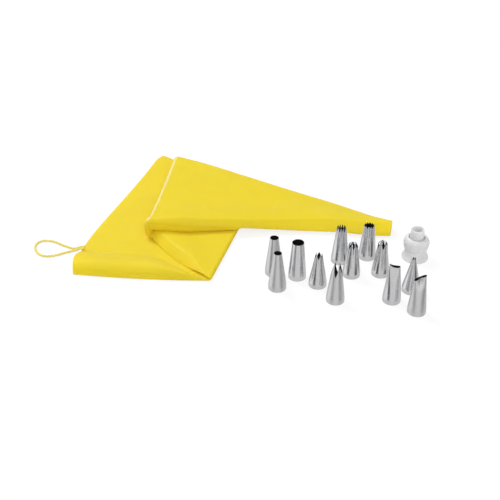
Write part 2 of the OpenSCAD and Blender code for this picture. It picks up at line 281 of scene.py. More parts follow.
def attribute(nodes, name):
    node = nodes.new("ShaderNodeAttribute")
    node.attribute_name = name
    return node.outputs["Fac"]


def put(links, socket, value):
    """Links a socket to another, or sets it to a number or a colour."""
    if isinstance(value, bpy.types.NodeSocket):
        links.new(value, socket)
    else:
        socket.default_value = (*value, 1) if socket.type == "RGBA" else value


def maths(nodes, links, operation, *values):
    node = nodes.new("ShaderNodeMath")
    node.operation = operation
    for socket, value in zip(node.inputs, values):
        put(links, socket, value)
    return node.outputs["Value"]


def noise(nodes, links, space, scale, detail=3.0):
    texture = nodes.new("ShaderNodeTexNoise")
    texture.inputs["Scale"].default_value = scale
    texture.inputs["Detail"].default_value = detail
    texture.inputs["Roughness"].default_value = 0.55
    links.new(space, texture.inputs["Vector"])
    return texture.outputs["Fac"]


def grey(value):
    return (value, value, value)


def ramp(nodes, links, value, *stops):
    """A colour ramp: each stop is a position and a colour."""
    node = nodes.new("ShaderNodeValToRGB")
    band = node.color_ramp
    while len(band.elements) < len(stops):
        band.elements.new(0.5)
    for element, (position, colour) in zip(band.elements, stops):
        element.position = position
        element.color = (*colour, 1)
    links.new(value, node.inputs["Fac"])
    return node.outputs["Color"]


def blend_colour(nodes, links, factor, low, high, blend="MIX"):
    """Mixes two colours by a factor: each is a plain value or a socket."""
    node = nodes.new("ShaderNodeMix")
    node.data_type = "RGBA"
    node.blend_type = blend
    factor_socket, low_socket, high_socket = node.inputs[0], node.inputs[6], node.inputs[7]
    put(links, factor_socket, factor)
    put(links, low_socket, low)
    put(links, high_socket, high)
    return node.outputs[2]


def mix_shaders(nodes, links, factor, first, second):
    node = nodes.new("ShaderNodeMixShader")
    for socket, value in zip(node.inputs, (factor, first, second)):
        links.new(value, socket)
    return node.outputs[0]


def bump(nodes, links, shader, height, strength, distance):
    node = nodes.new("ShaderNodeBump")
    node.inputs["Strength"].default_value = strength
    node.inputs["Distance"].default_value = distance
    links.new(height, node.inputs["Height"])
    links.new(node.outputs["Normal"], shader.inputs["Normal"])


def scatter(shader, weight, radius, scale):
    """Light that goes into the surface and comes out again beside its place."""
    shader.inputs["Subsurface Weight"].default_value = weight
    shader.inputs["Subsurface Radius"].default_value = radius
    shader.inputs["Subsurface Scale"].default_value = scale


def film_material(settings):
    """Satin film with a fine grain, mottled a little, and paler along the crease: a painted highlight where
    the fold's edge catches the light, together with the film's whitening where the fold stretches it.
    """
    material, nodes, links, shader = new_material("bag_film")
    space = object_space(nodes)
    film = Vector(settings.film)
    patches = noise(nodes, links, space, scale=22, detail=4)
    mottle = ramp(nodes, links, patches, (0.3, film * 0.965), (0.7, film * 1.02))
    # Along the crease the colour goes paler: a painted highlight on the fold's edge, together with the
    # film's stretch whitening.
    crease_whitening_and_highlight = attribute(nodes, "crease_whitening_and_highlight")
    colour = blend_colour(nodes, links, crease_whitening_and_highlight, mottle, tuple(settings.crease_colour_and_highlight))
    links.new(colour, shader.inputs["Base Color"])
    wear = noise(nodes, links, space, scale=60, detail=4)
    links.new(ramp(nodes, links, wear, (0.35, grey(0.56)), (0.65, grey(0.66))), shader.inputs["Roughness"])
    shader.inputs["IOR"].default_value = 1.47
    shader.inputs["Specular IOR Level"].default_value = 0.4
    scatter(shader, weight=0.4, radius=(1.0, 0.8, 0.1), scale=3 * MM)
    grain = noise(nodes, links, space, scale=1500, detail=2)
    bump(nodes, links, shader, grain, strength=0.12, distance=0.2 * MM)
    return material


def cord_material(settings):
    """Pale twisted cord: its strands wind round along its length."""
    material, nodes, links, shader = new_material("loop_cord")
    split = nodes.new("ShaderNodeSeparateXYZ")
    links.new(nodes.new("ShaderNodeUVMap").outputs["UV"], split.inputs["Vector"])
    round_it, along_it = split.outputs["X"], split.outputs["Y"]
    turns = 24
    twist = maths(nodes, links, "MULTIPLY_ADD", along_it, turns, round_it)
    half_strand = 0.25
    strands = maths(nodes, links, "PINGPONG", twist, half_strand)
    cord = Vector(settings.cord)
    colour = ramp(nodes, links, strands, (0.0, cord * 0.85), (0.12, cord))
    links.new(colour, shader.inputs["Base Color"])
    fibres = noise(nodes, links, object_space(nodes), scale=900)
    links.new(ramp(nodes, links, fibres, (0.3, grey(0.5)), (0.7, grey(0.65))), shader.inputs["Roughness"])
    bump(nodes, links, shader, strands, strength=0.5, distance=0.6 * MM)
    return material


def steel_material(settings):
    """Pressed stainless steel with fine drawing marks up the cone. The attribute satin makes a
    nozzle duller."""
    material, nodes, links, shader = new_material("nozzle_steel")
    space = object_space(nodes)
    stretch = nodes.new("ShaderNodeMapping")
    stretch.inputs["Scale"].default_value = (1, 1, 0.04)
    links.new(space, stretch.inputs["Vector"])
    marks = noise(nodes, links, stretch.outputs["Vector"], scale=1400)
    steel = Vector(settings.steel)
    tone = ramp(nodes, links, marks, (0.3, steel * 0.92), (0.7, steel * 1.04))
    links.new(tone, shader.inputs["Base Color"])
    shader.inputs["Metallic"].default_value = 1.0
    wear = noise(nodes, links, space, scale=180, detail=4)
    polish = ramp(nodes, links, wear, (0.35, grey(0.11)), (0.7, grey(0.19)))
    dullest = 0.32
    roughness = maths(nodes, links, "MULTIPLY_ADD", attribute(nodes, "satin"), dullest, polish)
    links.new(roughness, shader.inputs["Roughness"])
    bump(nodes, links, shader, marks, strength=0.1, distance=0.1 * MM)
    return material


def painted_shade_inside_material(settings):
    """The dull inner face of the same steel, painted very dark as shade for the nozzle's hollow, in
    blotches of painted shade.
    """
    material, nodes, links, shader = new_material("nozzle_inside_painted_shade")
    space = object_space(nodes)
    steel = Vector(settings.steel)
    shade_blotches = noise(nodes, links, space, scale=300)
    # Painted shade: only 6 to 12 per cent of the steel's colour, standing in for the dark hollow inside.
    tone = ramp(nodes, links, shade_blotches, (0.3, steel * 0.06), (0.7, steel * 0.12))
    links.new(tone, shader.inputs["Base Color"])
    shader.inputs["Metallic"].default_value = 1.0
    shader.inputs["Roughness"].default_value = 0.5
    grain = noise(nodes, links, space, scale=900)
    bump(nodes, links, shader, grain, strength=0.1, distance=0.1 * MM)
    return material


def plastic_material(settings):
    """Milky moulded plastic with a faint orange peel."""
    material, nodes, links, shader = new_material("coupler_plastic")
    space = object_space(nodes)
    plastic = Vector(settings.plastic)
    flow = noise(nodes, links, space, scale=90)
    tone = ramp(nodes, links, flow, (0.3, plastic * 0.97), (0.7, plastic * 1.02))
    links.new(tone, shader.inputs["Base Color"])
    wear = noise(nodes, links, space, scale=300)
    links.new(ramp(nodes, links, wear, (0.35, grey(0.34)), (0.7, grey(0.46))), shader.inputs["Roughness"])
    scatter(shader, weight=0.7, radius=(1, 1, 1), scale=4 * MM)
    peel = noise(nodes, links, space, scale=700, detail=2)
    bump(nodes, links, shader, peel, strength=0.06, distance=0.2 * MM)
    return material


# ---- the bag --------------------------------------------------------------------------------
# The bag is a flattened cone of film, folded in three layers: the bottom layer runs from the mouth
# to the low fold, the middle layer back to the crease, and the top layer on to the tip. A station
# is one line across the film, from its near to its far edge. Near is the side of the camera.

LAYER = 1.3 * MM  # half the thickness of a pressed layer

MOUTH_NEAR, MOUTH_FAR = at(-183, -92.7, 1.3), at(-115.5, 162, 1.3)
MOUTH_CORNER = 5 * MM  # rounding of the far corner
FRONT_BOW = 2.4 * MM  # bow of the bottom layer's near edge

LOW_NEAR, LOW_FAR = at(-43.5, -104, 1.3), at(6.5, 72.5, 1.3)
LOW_OUT = Vector((0.962, -0.273, 0))
LOW_R = 1.9 * MM

MIDDLE_NEAR, MIDDLE_FAR = at(-109, -28.5, 7.6), at(-90, 133, 6.0)
MIDDLE_BOW, MIDDLE_PUFF = 7 * MM, 3.2 * MM
REST_HEIGHT = 2.85 * MM  # where the middle layer's near edge lies on the bottom layer

CREASE_NEAR, CREASE_FAR = at(-109, -27.5, 21.8), at(-90, 133, 15.4)
CREASE_OUT = Vector((-0.993, 0.118, 0))
CREASE_BULGE = 4 * MM
CREASE_BEND = 1 * MM
CREASE_HANG = 8.9 * MM
CREASE_LIP = 2.2 * MM  # how far the near end of the fold stands out
CREASE_PUFF, CREASE_BACK = 2.2 * MM, 3.4 * MM
CREASE_FADE = 12 * MM
FOLD_SHAPE = 0.6  # 1 is a round fold, less a square one

NEAR_PUFF = 5.5 * MM  # the top layer's swelling
TOP_HALF, TIP_HALF = 3.0 * MM, 4.4 * MM  # half the thickness of the top layer and of the open tip
TOP_NOSE, TIP_NOSE = 6 * MM, 13 * MM
TOP_FADE, TIP_FADE = 50 * MM, 25 * MM
TIP_NEAR = [CREASE_NEAR] + [at(*p) for p in (
    (-62, -23.5, 14.3), (-20, -19.7, 10.8), (20, -16, 6.6), (56, -16, 4.6),
    (92, -18, 4.4), (126, -24, 4.5), (147.5, -24.5, 4.8))]
TIP_FAR = [CREASE_FAR] + [at(*p) for p in (
    (-58, 120.5, 13.2), (-20, 99.5, 11.6), (16, 80.5, 9.2), (52, 62.5, 6.4),
    (88, 42.8, 5), (122, 20, 4.7), (152.3, -3.6, 4.8))]

EDGE = 3 * MM  # how far in a pressed edge has its full thickness
FLAT_NOSE, MIDDLE_NOSE, END_NOSE = 5 * MM, 12 * MM, 8 * MM
MIDDLE_TAPER, END_TAPER = 12 * MM, 6 * MM
END_DROOP = 3.6 * MM

PUFF_FULLNESS = 0.85  # of a puffed layer's section: 1 is an ellipse, less is fuller
ROLL_CROWN, ROLL_FEET = 0.62, 1.1  # less brings the crown nearer the edge, more flattens the feet
DROOP_REACH = 1.4  # how far in a droop goes, as a share of the nose
HANG_REACH, HANG_FADE = 20 * MM, 40 * MM  # how far in a wall hangs fully, and then fades out
LEAN_START, LEAN_FADE = 1.5 * MM, 8 * MM
LEAN_SHARE = 0.35  # how far a hanging wall leans out, as a share of its depth
CORNER_SHARE = 0.06  # share of the mouth that its rounded far corner takes

FILM_COLUMNS = 144
EVENNESS = 0.12  # 0 crowds the columns towards the edges, 1 spreads them evenly
MOUTH_ROWS, LOW_ROWS, MIDDLE_ROWS, TIP_ROWS = 60, 12, 40, 100
TURN_STEP = 5  # degrees between the stations round the crease
SPLIT_TURN = 150  # where the two pieces of film meet on the crease
FILM_SHARP = 50  # degrees


class Station:
    """One line across the flattened film, and what the film does there. The first wall is the
    one that faces up at the mouth."""

    half = LAYER  # half the thickness
    rounded = 0.0  # 0 where the film is pressed flat, 1 where it is puffed
    puff = 0.0  # swelling of the first wall by the near edge
    back = 0.0  # the same of the second wall
    nose = FLAT_NOSE  # how far in a swelling is at its highest
    fade = 40 * MM  # how far on it fades out
    slope = 0.0  # 0 where the near edge's face is rounded, 1 where it is straight
    taper = EDGE  # how far in the near edge thins out
    droop = 0.0  # how far the near edge hangs down
    hang = 0.0  # how far the second wall hangs below the line, by the near edge
    bend = 0.0  # how far the line's middle lies towards the tip
    mouth = 0.0  # share of the mouth's bow
    roll = 0.0  # height of the front roll, on the first wall
    roll_width = 0.0
    crease_whitening_and_highlight = 0.0  # how pale the film is along the crease: painted highlight and stretch whitening

    def __init__(self, near, far, **features):
        self.near, self.far, self.width = near, far, (far - near).length
        for name, value in features.items():
            setattr(self, name, value)


def bottom_station(settings, u):
    """A station on the bottom layer, at fraction u from the mouth to the low fold."""
    near = mix(MOUTH_NEAR, LOW_NEAR - LOW_R * LOW_OUT, u)
    bow = Vector((0, FRONT_BOW * math.sin(math.pi * u), 0))
    return Station(
        near - bow, mix(MOUTH_FAR, LOW_FAR - LOW_R * LOW_OUT, u), mouth=1 - ease(u / 0.6),
        roll=settings.roll_height * (1 - 0.42 * rises(u, 0.62, 0.24) - 0.53 * rises(u, 0.8, 0.2)),
        roll_width=settings.roll_width * (1 - 0.86 * rises(u, 0.4, 0.55)),
    )


def middle_station(u):
    """A station on the middle layer, at fraction u from the low fold to the crease."""
    start = LOW_R * (2 * UP - LOW_OUT)
    rested = rises(u, 0.08, 0.3)
    ending = rises(u, 0.8, 0.2)
    swollen = ease(u / 0.4) * (1 - 0.5 * ending)
    near = mix(LOW_NEAR + start, MIDDLE_NEAR, u)
    near = near - Vector((0, MIDDLE_BOW * math.sin(math.pi * u ** 1.3), 0))
    return Station(
        near, mix(LOW_FAR + start, MIDDLE_FAR, u), back=MIDDLE_PUFF * swollen,
        nose=mix(FLAT_NOSE, mix(MIDDLE_NOSE, END_NOSE, ending), swollen),
        slope=swollen * (1 - 0.6 * ending),
        taper=mix(EDGE, mix(MIDDLE_TAPER, END_TAPER, ending), rested),
        droop=mix(near.z - REST_HEIGHT, END_DROOP, ending) * rested,
        bend=CREASE_BEND * rises(u, 0.4, 0.6),
    )


def crease_station(turn):
    """A station on the crease's fold: turn is 0 degrees by the middle layer and 180 by the top one."""
    angle = math.radians(turn)
    level, side = math.cos(angle), math.sin(angle)
    rise = (1 - math.copysign(abs(level) ** FOLD_SHAPE, level)) / 2
    out = CREASE_BULGE * side ** FOLD_SHAPE * CREASE_OUT
    lip = Vector((0, CREASE_LIP * side, 0))
    begun = ease(turn / 60)
    return Station(
        mix(MIDDLE_NEAR, CREASE_NEAR, rise) + out - lip,
        mix(MIDDLE_FAR, CREASE_FAR, rise) + out,
        puff=CREASE_PUFF * begun,
        back=mix(0.5 * MIDDLE_PUFF, CREASE_BACK, rises(turn, 20, 50)) * (1 - rises(turn, 110, 50)),
        nose=mix(END_NOSE, FLAT_NOSE, begun),
        fade=CREASE_FADE,
        bend=CREASE_BEND,
        taper=mix(END_TAPER, EDGE, begun),
        droop=END_DROOP * (1 - ease(turn / 90)),
        # The fold's outer edge, from about 112 to 178 degrees round, gets the paler colour: painted
        # highlight with stretch whitening.
        crease_whitening_and_highlight=rises(turn, 112, 14) * ease((178 - turn) / 12),
        hang=CREASE_HANG * rises(turn, 125, 55),
    )


def top_station(u):
    """A station on the top layer, at fraction u from the crease to the tip."""
    begun = ease(u / 0.12)
    narrowed = rises(u, 0.3, 0.4)
    near = through(TIP_NEAR, u)
    # The lower wall comes down to the layer below it: steeply by the crease, and less further on.
    hang = min(0.76 * near.z - 4.2 * MM, 0.22 * near.z + 4.1 * MM)
    return Station(
        near, through(TIP_FAR, u), rounded=begun,
        half=mix(mix(LAYER, TOP_HALF, begun), TIP_HALF, rises(u, 0.75, 0.25)),
        puff=mix(CREASE_PUFF, NEAR_PUFF, begun) * (1 - 0.3 * rises(u, 0.7, 0.3)),
        nose=mix(TOP_NOSE, TIP_NOSE, narrowed),
        fade=mix(TOP_FADE, TIP_FADE, rises(u, 0.5, 0.5)),
        slope=mix(0.6, 1, narrowed) * begun,
        bend=CREASE_BEND * (1 - ease(u / 0.35)),
        hang=hang * (1 - rises(u, 0.29, 0.04)),
    )


def mouth_half_stations(settings):
    """From the mouth along the bottom layer, round the low fold, back along the middle layer
    and up the crease's fold."""
    made = [bottom_station(settings, i / MOUTH_ROWS) for i in range(MOUTH_ROWS + 1)]
    for i in range(1, LOW_ROWS):
        a = math.pi * i / LOW_ROWS
        shift = LOW_R * ((math.sin(a) - 1) * LOW_OUT + (1 - math.cos(a)) * UP)
        made.append(Station(LOW_NEAR + shift, LOW_FAR + shift))
    made += [middle_station(i / MIDDLE_ROWS) for i in range(MIDDLE_ROWS + 1)]
    made += [crease_station(turn) for turn in range(TURN_STEP, SPLIT_TURN + 1, TURN_STEP)]
    return made


def tip_half_stations():
    """From the crease's fold along the top layer to the open tip."""
    made = [crease_station(turn) for turn in range(SPLIT_TURN, 180, TURN_STEP)]
    made += [top_station(i / TIP_ROWS) for i in range(TIP_ROWS + 1)]
    return made


def half_thickness(here, v):
    """Half the distance between the walls, at fraction v from the near to the far edge."""
    pressed = math.sqrt(clamp(min(v / here.taper, (1 - v) / EDGE) * here.width))
    puffed = (2 * math.sqrt(max(0, v * (1 - v)))) ** PUFF_FULLNESS
    return here.half * mix(pressed, puffed, here.rounded)


def swelling(here, puff, inwards):
    """How far a wall swells, at a distance inwards from the near edge."""
    across = clamp(inwards / here.nose)
    face = mix(math.sqrt(1 - (1 - across) ** 2), across, here.slope)
    return puff * face * (1 - rises(inwards, here.nose, here.fade))


def front_roll(here, inwards):
    """Height of the loose roll along the bottom layer's near edge."""
    if not here.roll:
        return 0.0
    return here.roll * math.sin(math.pi * clamp(inwards / here.roll_width) ** ROLL_CROWN) ** ROLL_FEET


def hung_wall(here, inwards, depth):
    """Depth of the second wall below the line where it hangs, and how far it leans out."""
    hung = ease(inwards / EDGE) * (1 - rises(inwards, HANG_REACH, HANG_FADE))
    lean = ease(inwards / LEAN_START) * (1 - rises(inwards, EDGE, LEAN_FADE))
    return mix(depth, max(depth, here.hang), hung), LEAN_SHARE * here.hang * lean


def bag_shell(name, settings, stations):
    """A flattened tube of film through the stations."""
    last = len(stations) - 1

    def middle(station, v):
        corner = MOUTH_CORNER * clamp((v - 1 + CORNER_SHARE) / CORNER_SHARE) ** 2
        bow = settings.mouth_bow * math.sin(math.pi * math.sqrt(v)) ** 2
        hung = station.droop * (1 - clamp(v * station.width / (DROOP_REACH * station.nose))) ** 1.5
        bend = station.bend * math.sin(math.pi * v)
        shift = Vector((station.mouth * (corner - bow) + bend, 0, -hung))
        return mix(station.near, station.far, v) + shift

    def out_of_cloth(i, v):
        ahead = middle(stations[min(last, i + 1)], v) - middle(stations[max(0, i - 1)], v)
        return ahead.cross(stations[i].far - stations[i].near).normalized()

    def place(u, t):
        """The first half of the way round is the first wall, from the near to the far edge."""
        i = min(last, round(t * last))
        here = stations[i]
        crowded, even = (1 - math.cos(2 * math.pi * u)) / 2, 1 - abs(1 - 2 * u)
        v = mix(crowded, even, EVENNESS)
        inwards = v * here.width
        if u < 0.5:
            rise = half_thickness(here, v) + swelling(here, here.puff, inwards) + front_roll(here, inwards)
            return middle(here, v) + out_of_cloth(i, v) * rise
        depth, lean = hung_wall(here, inwards, half_thickness(here, v) + swelling(here, here.back, inwards))
        return middle(here, v) - out_of_cloth(i, v) * depth - lean * (here.far - here.near).normalized()

    # The crease's paler colour, painted highlight with stretch whitening, fades out at the near edge.
    def crease_whitening_and_highlight(u, t):
        here = stations[min(last, round(t * last))]
        v = (1 - math.cos(2 * math.pi * u)) / 2
        return here.crease_whitening_and_highlight * ease(v * here.width / EDGE)

    return loft(name, FILM_COLUMNS, last, place, [("crease_whitening_and_highlight", crease_whitening_and_highlight)])


# ---- the stage ------------------------------------------------------------------------------

CAMERA_PLACE, CAMERA_AIM = (-0.0033, -0.83653, 0.53288), (-0.0033, -0.0465, 0)
FOCAL_LENGTH, SENSOR_WIDTH = 64.8, 36
FLOOR_REACH = 4  # metres each way
FLOOR_WHITENESS = 0.75  # 1 would hide the shadows
WHITE = (1, 1, 1)

# Brightness that polished steel mirrors at shares of a turn: from the front by the left to the
# back, at 0.5, and by the right to the front again.
STUDIO_RING = (
    (0.0, 0.68), (0.07, 0.74), (0.115, 0.05), (0.155, 0.04), (0.2, 0.95), (0.3, 1.0),
    (0.38, 0.35), (0.44, 0.3), (0.5, 0.9), (0.62, 0.85), (0.7, 0.6), (0.78, 0.6),
    (0.825, 0.06), (0.87, 0.05), (0.925, 0.74), (1.0, 0.68),
)


def facing(place, aim):
    """The rotation of a camera or a lamp that looks from its place at the aim."""
    return (Vector(aim) - Vector(place)).to_track_quat("-Z", "Y").to_euler()


def background(nodes, links, colour, strength):
    node = nodes.new("ShaderNodeBackground")
    put(links, node.inputs["Color"], colour)
    node.inputs["Strength"].default_value = strength
    return node.outputs[0]


def mirrored_studio(nodes, links):
    """What polished steel mirrors: the ring of walls, an even ground and a darker top."""
    direction = nodes.new("ShaderNodeSeparateXYZ")
    links.new(nodes.new("ShaderNodeTexCoord").outputs["Generated"], direction.inputs["Vector"])
    angle = maths(nodes, links, "ARCTAN2", direction.outputs["X"], direction.outputs["Y"])
    share = maths(nodes, links, "MULTIPLY_ADD", angle, 0.5 / math.pi, 0.5)
    walls = ramp(nodes, links, share, *((position, grey(value)) for position, value in STUDIO_RING))
    height = maths(nodes, links, "MULTIPLY_ADD", direction.outputs["Z"], 0.5, 0.5)
    above_ground = ramp(nodes, links, height, (0.24, grey(0)), (0.29, grey(1)))
    room = blend_colour(nodes, links, above_ground, grey(0.66), walls)
    overhead = ramp(nodes, links, height, (0.86, grey(1.0)), (0.95, grey(0.2)))
    return blend_colour(nodes, links, 1.0, room, overhead, "MULTIPLY")


def floor_material():
    """Matte, and whitened for the eye, so that little but the shadows is seen."""
    material = bpy.data.materials.new("pale_floor")
    material.use_nodes = True
    nodes, links = material.node_tree.nodes, material.node_tree.links
    nodes.clear()
    matte = nodes.new("ShaderNodeBsdfDiffuse")
    matte.inputs["Color"].default_value = (0.86, 0.86, 0.86, 1)
    white = nodes.new("ShaderNodeEmission")
    white.inputs["Color"].default_value = (1, 1, 1, 1)
    white.inputs["Strength"].default_value = 1.06
    rays = nodes.new("ShaderNodeLightPath")
    whiteness = maths(nodes, links, "MULTIPLY", rays.outputs["Is Camera Ray"], FLOOR_WHITENESS)
    seen = mix_shaders(nodes, links, whiteness, matte.outputs[0], white.outputs[0])
    links.new(seen, nodes.new("ShaderNodeOutputMaterial").inputs["Surface"])
    return material


class PIPING_OT_stage(bpy.types.Operator):
    """Makes the pale floor, the soft light and the camera"""

    bl_idname = "piping.stage"
    bl_label = "Stage"

    def execute(self, context):
        settings = context.scene.piping_stage
        scene = context.scene
        scene.view_settings.view_transform = "Standard"
        self.add_camera(scene)
        self.add_world(scene, settings.sky)
        self.add_floor(scene)
        self.add_light(scene, "key_light", place=(-0.85, 0.95, 1.75), size=0.9, power=settings.key)
        self.add_light(scene, "fill_light", place=(0.2, -1.7, 1.6), size=1.8, power=settings.fill)
        return {"FINISHED"}

    def add_camera(self, scene):
        lens = bpy.data.cameras.new("view")
        lens.lens = FOCAL_LENGTH
        lens.sensor_width = SENSOR_WIDTH
        camera = bpy.data.objects.new("view", lens)
        camera.location = CAMERA_PLACE
        camera.rotation_euler = facing(CAMERA_PLACE, CAMERA_AIM)
        scene.collection.objects.link(camera)
        scene.camera = camera

    def add_light(self, scene, name, place, size, power):
        """A round lamp that shines at the origin."""
        lamp = bpy.data.lights.new(name, "AREA")
        lamp.shape = "DISK"
        lamp.size = size
        lamp.energy = power
        light = bpy.data.objects.new(name, lamp)
        light.location = place
        light.rotation_euler = facing(place, (0, 0, 0))
        scene.collection.objects.link(light)

    def add_world(self, scene, sky):
        """Even light, a white background, and a studio's dark gaps for what is polished."""
        world = bpy.data.worlds.new("studio")
        world.use_nodes = True
        nodes, links = world.node_tree.nodes, world.node_tree.links
        nodes.clear()
        rays = nodes.new("ShaderNodeLightPath")
        even = background(nodes, links, WHITE, sky)
        mirror = background(nodes, links, mirrored_studio(nodes, links), 1.0)
        lit = mix_shaders(nodes, links, rays.outputs["Is Glossy Ray"], even, mirror)
        white = background(nodes, links, WHITE, 1.0)
        seen = mix_shaders(nodes, links, rays.outputs["Is Camera Ray"], lit, white)
        links.new(seen, nodes.new("ShaderNodeOutputWorld").inputs["Surface"])
        scene.world = world

    def add_floor(self, scene):
        """A pale floor that keeps the object's shadow."""
        bm = bmesh.new()
        bmesh.ops.create_grid(bm, x_segments=1, y_segments=1, size=FLOOR_REACH)
        mesh = bpy.data.meshes.new("floor")
        bm.to_mesh(mesh)
        bm.free()
        floor = bpy.data.objects.new("floor", mesh)
        scene.collection.objects.link(floor)
        mesh.materials.append(floor_material())
        floor.visible_glossy = False


# ---- the hanging loop -----------------------------------------------------------------------

LOOP_STEPS, LOOP_COLUMNS = 140, 16
LOOP_ROUTE = [at(*p) for p in (
    (-177.5, -48.4, 5.4), (-181.5, -48.2, 5.1), (-184.7, -48.4, 4), (-188.1, -47.6, 2.6),
    (-193, -44.8, 1.5), (-197.7, -42, 1.3), (-202.3, -39.5, 1.3), (-209, -34.9, 1.3),
    (-215.5, -31.7, 1.3), (-222.6, -30.6, 1.3), (-227.9, -32.4, 1.3), (-230.9, -37.6, 1.3),
    (-230.7, -45.4, 1.3), (-227.8, -52.2, 1.3), (-223.4, -57.2, 1.3), (-217.8, -59.8, 1.3),
    (-211.6, -59.8, 1.3), (-204.5, -57.3, 1.3), (-198.5, -54.2, 1.4), (-193, -52, 1.7),
    (-188, -51.4, 2.8), (-184, -51.7, 4.4), (-181.5, -51.8, 5.3), (-177.5, -51.6, 5.6))]


def close_ends(piece):
    bm = bmesh.new()
    bm.from_mesh(piece.data)
    bmesh.ops.holes_fill(bm, edges=[edge for edge in bm.edges if edge.is_boundary], sides=0)
    bmesh.ops.recalc_face_normals(bm, faces=bm.faces)
    bm.to_mesh(piece.data)
    bm.free()


class PIPING_OT_loop(bpy.types.Operator):
    """Makes the cord loop that the bag hangs up by"""

    bl_idname = "piping.loop"
    bl_label = "Hanging loop"

    def execute(self, context):
        settings = context.scene.piping_loop
        radius = settings.thickness / 2
        line = [through(LOOP_ROUTE, i / LOOP_STEPS) for i in range(LOOP_STEPS + 1)]
        length = sum((b - a).length for a, b in zip(line, line[1:]))

        def place(u, v):
            i = round(v * LOOP_STEPS)
            ahead = (line[min(LOOP_STEPS, i + 1)] - line[max(0, i - 1)]).normalized()
            side = ahead.cross(UP).normalized()
            turn = 2 * math.pi * u
            return line[i] + radius * (math.cos(turn) * side + math.sin(turn) * side.cross(ahead))

        piece = loft("loop_cord", LOOP_COLUMNS, LOOP_STEPS, place)
        close_ends(piece)
        settle(piece, cord_material(settings), sharp=40)
        [tuple(p) for p in line]
        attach(piece, "bag_mouth")
        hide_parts("hanging_loop")
        return {"FINISHED"}


# ---- the bag's two pieces -------------------------------------------------------------------


class PIPING_OT_bag(bpy.types.Operator):
    """Makes the folded bag as two shells of film that meet on the crease"""

    bl_idname = "piping.bag"
    bl_label = "Bag"

    def execute(self, context):
        settings = context.scene.piping_bag
        film = film_material(settings)
        mouth = bag_shell("bag_mouth_film", settings, mouth_half_stations(settings))
        wall(mouth, settings.wall)
        settle(mouth, film, sharp=FILM_SHARP)
        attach(mouth, "bag_mouth")
        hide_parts("bag_mouth_half")
        tip = bag_shell("bag_tip_film", settings, tip_half_stations())
        wall(tip, settings.wall)
        settle(tip, film, sharp=FILM_SHARP)
        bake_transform(tip)
        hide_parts("bag_tip_half")
        for piece in (mouth, tip):
            piece.visible_glossy = False  # the steel mirrors the studio alone
        return {"FINISHED"}


# ---- the nozzles ----------------------------------------------------------------------------
# Every length that a nozzle is given is in millimetres. satin is 0 for a polished nozzle and 1 for
# a dull one, and may go a little below 0. Columns run round a nozzle and rows up it.

ROUND_COLUMNS, ROUND_ROWS = 96, 40
STAR_COLUMNS, STAR_ROWS = 180, 56  # the columns are rounded to whole teeth
SLOT_COLUMNS, SLOT_ROWS = 128, 44
ROW_CROWDING = 1.6  # above 1 a star's rows crowd towards its teeth

GROOVE_START = 0.25  # share of the height where a star's grooves begin
LEAN_REACH = 1.15  # depth that the teeth lean over, as a share of the cuts' depth
CURL_REACH = 1.25  # depth that the end rounds over, as a share of its curl
FLATTENING = 1.6  # above 1 a slot's cone stays round for longer


def standing_place(node):
    """Where the CAD piece stands, from the middle of its box."""
    low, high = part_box(node)
    return Vector(((low.x + high.x) / 2, (low.y + high.y) / 2, 0))


def cone_radius(settings, z, height, outlet):
    """Radius of the straight skirt and of the cone above it, which ends at the outlet's radius."""
    foot = settings.foot / 2
    if z < settings.skirt:
        return foot
    return mix(foot, outlet, (z - settings.skirt) / (height - settings.skirt))


def pressed_shell(node, satin, columns, rows, place):
    """The outside of a nozzle, with its finish."""
    return loft(node + "_steel", columns, rows, place, [("satin", lambda u, v: satin)])


def round_nozzle(settings, node, satin, height, outlet):
    """A plain pressed cone with a round outlet."""
    centre = standing_place(node)
    height, outlet = height * MM, outlet / 2 * MM

    def place(u, v):
        z = v * height
        return centre + on_circle(cone_radius(settings, z, height, outlet), 2 * math.pi * u, z)

    return pressed_shell(node, satin, ROUND_COLUMNS, ROUND_ROWS, place)


def star_nozzle(settings, node, satin, height, outlet, teeth, notch, bend, flute, slit, sharp,
                curl=0, turned=0):
    """A pressed cone whose end is cut into teeth. notch is the depth of the cuts, bend how far the
    teeth lean in, flute the depth of the grooves down the cone, slit the share of each tooth's
    pitch that the cut takes, sharp 1 for a V cut and less for a round one, curl how far the end
    rounds over, and turned the place of the first cut in degrees."""
    centre = standing_place(node)
    height, outlet, notch, bend, flute, curl = (
        n * MM for n in (height, outlet / 2, notch, bend, flute, curl))
    columns = round(STAR_COLUMNS / teeth) * teeth

    def place(u, v):
        beside_tooth = abs(2 * ((u * teeth) % 1.0) - 1)  # 0 in the middle of a tooth, 1 in a cut
        cut = (1 - clamp((1 - beside_tooth) / slit)) ** sharp
        z = (1 - (1 - v) ** ROW_CROWDING) * (height - notch * cut)
        groove = beside_tooth ** 3 * rises(z, height * GROOVE_START, height * (1 - GROOVE_START))
        near_top = clamp(1 - (height - z) / (notch * LEAN_REACH))
        dome = clamp(1 - (height - z) / (curl * CURL_REACH)) if curl else 0
        rounding = curl * (1 - math.sqrt(1 - 0.98 * dome ** 2))
        r = cone_radius(settings, z, height, outlet)
        r -= flute * groove + bend * near_top ** 2 + rounding
        return centre + on_circle(r, 2 * math.pi * u + math.radians(turned), z)

    return pressed_shell(node, satin, columns, STAR_ROWS, place)


